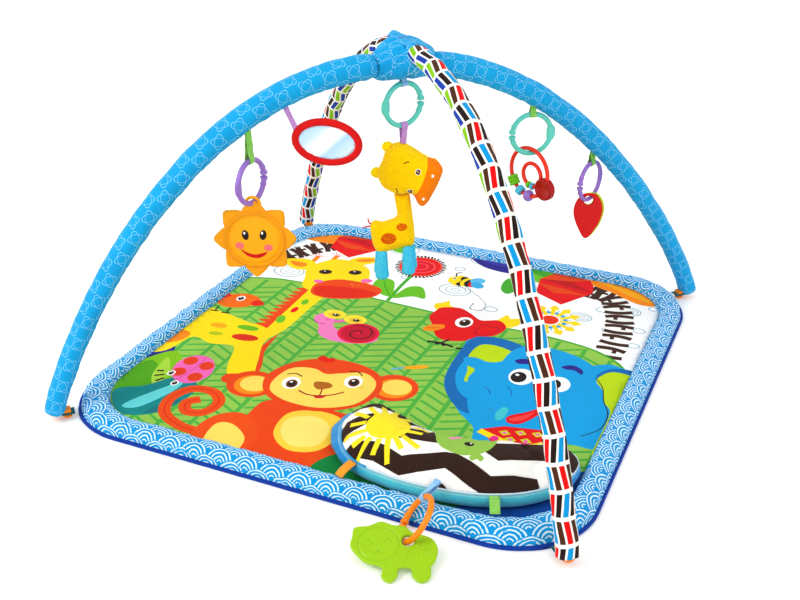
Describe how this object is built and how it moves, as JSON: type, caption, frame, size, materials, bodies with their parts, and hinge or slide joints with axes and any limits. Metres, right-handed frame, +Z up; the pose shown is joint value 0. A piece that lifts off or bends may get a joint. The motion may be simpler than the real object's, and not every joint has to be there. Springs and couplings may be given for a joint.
{
  "type": "activity play gym",
  "caption": "Square padded play mat under two crossing fabric-sleeved arches on a hub, with hanging toys and a loose pillow.",
  "frame": {"origin": "centre of the mat's underside, on the floor", "axes": "+Z up; +X along the front edge towards the striped arch's front foot; +Y from the front edge to the back edge"},
  "size_m": [0.9078, 1.026, 0.586],
  "materials": {
    "border_fabric": "woven, printed with white concentric scale arcs",
    "piping_fabric": "woven bias binding",
    "print_fabric": "smooth woven, printed play scene",
    "wadding": "soft polyester wadding",
    "sleeve_blue_fabric": "woven, printed with pale dashed knots",
    "sleeve_striped_fabric": "woven, printed with slanted bricks",
    "pole_plastic": "smooth",
    "orange_plastic": "smooth moulded",
    "purple_plastic": "smooth moulded",
    "teal_plastic": "smooth moulded",
    "red_plastic": "smooth moulded",
    "sun_plastic": "smooth moulded, printed face",
    "green_plastic": "smooth moulded",
    "sky_plastic": "smooth moulded",
    "plush_yellow": "short plush",
    "plush_blue": "short plush",
    "red_fabric": "smooth woven",
    "mirror": "baby-safe mirror film",
    "webbing_teal": "webbing",
    "ribbon_green": "satin ribbon",
    "ribbon_lilac": "satin ribbon",
    "ribbon_sky": "satin ribbon",
    "ribbon_orange": "satin ribbon",
    "pillow_side_fabric": "smooth woven",
    "pillow_print_fabric": "woven, printed with chevrons and a sun",
    "silicone_green": "satin moulded teether",
    "silicone_red": "satin moulded teether"
  },
  "bodies": {
    "mat": {"mat_backing": "piping_fabric", "mat_wadding": "wadding", "mat_print_panel": "print_fabric", "mat_border": "border_fabric", "mat_piping": "piping_fabric", "corner_tab_right": "webbing_teal", "corner_tab_back": "webbing_teal", "corner_tab_left": "webbing_teal", "corner_tab_front": "webbing_teal"},
    "blue_arch": {"sleeve_blue_left": "sleeve_blue_fabric", "sleeve_blue_right": "sleeve_blue_fabric", "pole_blue_left": "pole_plastic", "pole_blue_right": "pole_plastic", "foot_blue_left": "orange_plastic", "foot_blue_right": "orange_plastic", "hub_lower": "pole_plastic", "hub_pin": "pole_plastic", "hub_cover": "sleeve_blue_fabric", "ribbon_sun": "ribbon_green", "ribbon_giraffe": "ribbon_sky", "ribbon_rattle": "ribbon_green", "ribbon_leaf": "ribbon_green"},
    "striped_arch": {"sleeve_striped_front": "sleeve_striped_fabric", "sleeve_striped_back": "sleeve_striped_fabric", "pole_striped_front": "pole_plastic", "pole_striped_back": "pole_plastic", "foot_striped_front": "orange_plastic", "foot_striped_back": "orange_plastic", "hub_upper": "pole_plastic"},
    "sun_ring": {"link_ring_sun": "purple_plastic"},
    "sun": {"sun_front_shell": "sun_plastic", "sun_back_shell": "sun_plastic", "sun_face": "sun_plastic"},
    "mirror": {"mirror_frame": "red_fabric", "mirror_disc": "mirror", "ribbon_mirror": "ribbon_lilac"},
    "giraffe_ring": {"link_ring_giraffe": "teal_plastic"},
    "giraffe": {"giraffe_loop": "ribbon_lilac", "giraffe_head": "plush_yellow", "giraffe_torso": "plush_yellow", "giraffe_leg_front_near": "plush_blue", "giraffe_leg_front_far": "plush_blue", "giraffe_leg_hind_near": "plush_blue", "giraffe_leg_hind_far": "plush_blue"},
    "rattle_ring": {"link_ring_rattle": "teal_plastic"},
    "rattle": {"rattle_frame": "red_plastic"},
    "green_bead": {"bead_green": "green_plastic"},
    "sky_bead": {"bead_sky": "sky_plastic"},
    "purple_bead": {"bead_purple": "purple_plastic"},
    "leaf_ring": {"link_ring_leaf": "purple_plastic"},
    "leaf": {"leaf_red": "silicone_red", "leaf_green": "silicone_green"},
    "pillow": {"pillow_body": "pillow_side_fabric", "pillow_top": "pillow_print_fabric", "pillow_tag_orange": "ribbon_orange", "pillow_tag_green": "ribbon_green", "pillow_loop": "ribbon_sky"},
    "lion_ring": {"link_ring_lion": "orange_plastic"},
    "lion": {"lion_teether": "silicone_green"}
  },
  "joints": [
    {"name": "frame_lift", "type": "slide", "parent": "mat", "child": "blue_arch", "axis": [0, 0, 1], "range_m": [0, 0.08], "deforming": ["corner_tab_right", "corner_tab_back", "corner_tab_left", "corner_tab_front"]},
    {"name": "arch_scissor", "type": "hinge", "parent": "blue_arch", "child": "striped_arch", "pos_m": [0, 0, 0.55], "axis": [0, 0, 1], "range_deg": [-12, 45], "deforming": ["hub_cover"]},
    {"name": "sun_ring_swing", "type": "hinge", "parent": "blue_arch", "child": "sun_ring", "pos_m": [-0.18195, -0.19009, 0.40723], "axis": [0.0715, 0.9974, 0], "range_deg": [-20, 20]},
    {"name": "sun_swing", "type": "hinge", "parent": "sun_ring", "child": "sun", "pos_m": [-0.18195, -0.19009, 0.33643], "axis": [0.0715, 0.9974, 0], "range_deg": [-15, 15]},
    {"name": "mirror_swing", "type": "hinge", "parent": "blue_arch", "child": "mirror", "pos_m": [-0.1376, -0.1454, 0.4812], "axis": [0.4051, -0.9143, 0], "range_deg": [-15, 8]},
    {"name": "giraffe_ring_swing", "type": "hinge", "parent": "blue_arch", "child": "giraffe_ring", "pos_m": [0, 0, 0.504], "axis": [0.5165, 0.8563, 0], "range_deg": [-15, 15]},
    {"name": "giraffe_swing", "type": "hinge", "parent": "giraffe_ring", "child": "giraffe", "pos_m": [0, 0, 0.4332], "axis": [0.5165, 0.8563, 0], "range_deg": [-20, 20]},
    {"name": "rattle_ring_swing", "type": "hinge", "parent": "blue_arch", "child": "rattle_ring", "pos_m": [0.17053, 0.1685, 0.42491], "axis": [0.81, 0.5864, 0], "range_deg": [-12, 20]},
    {"name": "rattle_swing", "type": "hinge", "parent": "rattle_ring", "child": "rattle", "pos_m": [0.17053, 0.1685, 0.35411], "axis": [0.81, 0.5864, 0], "range_deg": [-20, 20]},
    {"name": "green_bead_slide", "type": "hinge", "parent": "rattle", "child": "green_bead", "pos_m": [0.17053, 0.1685, 0.31811], "axis": [-0.4399, -0.898, 0], "range_deg": [-80, 0]},
    {"name": "sky_bead_slide", "type": "hinge", "parent": "rattle", "child": "sky_bead", "pos_m": [0.17053, 0.1685, 0.31811], "axis": [-0.4399, -0.898, 0], "range_deg": [-2.5, 2.5]},
    {"name": "purple_bead_slide", "type": "hinge", "parent": "rattle", "child": "purple_bead", "pos_m": [0.17053, 0.1685, 0.31811], "axis": [-0.4399, -0.898, 0], "range_deg": [0, 14]},
    {"name": "leaf_ring_swing", "type": "hinge", "parent": "blue_arch", "child": "leaf_ring", "pos_m": [0.25832, 0.26646, 0.31632], "axis": [0.2773, 0.9608, 0], "range_deg": [-15, 15]},
    {"name": "leaf_swing", "type": "hinge", "parent": "leaf_ring", "child": "leaf", "pos_m": [0.25832, 0.26646, 0.24552], "axis": [0.2773, 0.9608, 0], "range_deg": [-15, 15]},
    {"name": "pillow_lift", "type": "slide", "parent": "mat", "child": "pillow", "axis": [0, 0, 1], "range_m": [0, 0.1]},
    {"name": "lion_ring_swing", "type": "hinge", "parent": "pillow", "child": "lion_ring", "pos_m": [0.226, -0.44, 0.05], "axis": [-0.6587, 0.2721, -0.7015], "range_deg": [0, 20]},
    {"name": "lion_swing", "type": "hinge", "parent": "lion_ring", "child": "lion", "pos_m": [0.22956, -0.50473, 0.02155], "axis": [-0.6587, 0.2721, -0.7015], "range_deg": [0, 20]}
  ]
}
